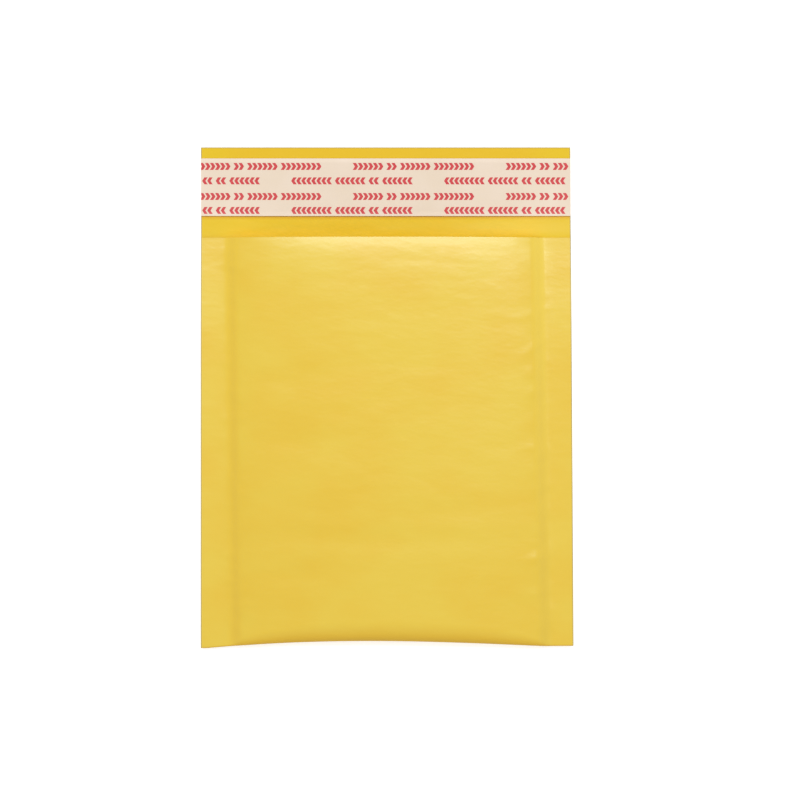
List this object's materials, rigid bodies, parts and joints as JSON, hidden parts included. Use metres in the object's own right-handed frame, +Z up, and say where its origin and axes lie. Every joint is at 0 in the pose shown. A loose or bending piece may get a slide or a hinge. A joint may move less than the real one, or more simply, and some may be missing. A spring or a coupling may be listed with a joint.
{
  "type": "bubble mailer",
  "caption": "kraft bubble mailer lying flat, empty, with the flap open and a printed release liner over the adhesive",
  "frame": {"origin": "on the surface the mailer lies on, under the middle of its outline", "axes": "+Z up, +Y from the bottom fold towards the flap, +X to the right seen from above"},
  "size_m": [0.1815, 0.244, 0.0128],
  "materials": {
    "kraft_envelope": "golden kraft paper, matt with a faint sheen",
    "bubble_lining": "clear polyethylene bubble film",
    "adhesive_strip": "tacky and pale yellow",
    "release_liner": "cream silicone paper with a low sheen and rows of small red marks"
  },
  "bodies": {
    "root": {"kraft_envelope": "kraft_envelope", "bubble_lining": "bubble_lining", "adhesive_strip": "adhesive_strip", "release_liner": "release_liner"}
  },
  "joints": []
}
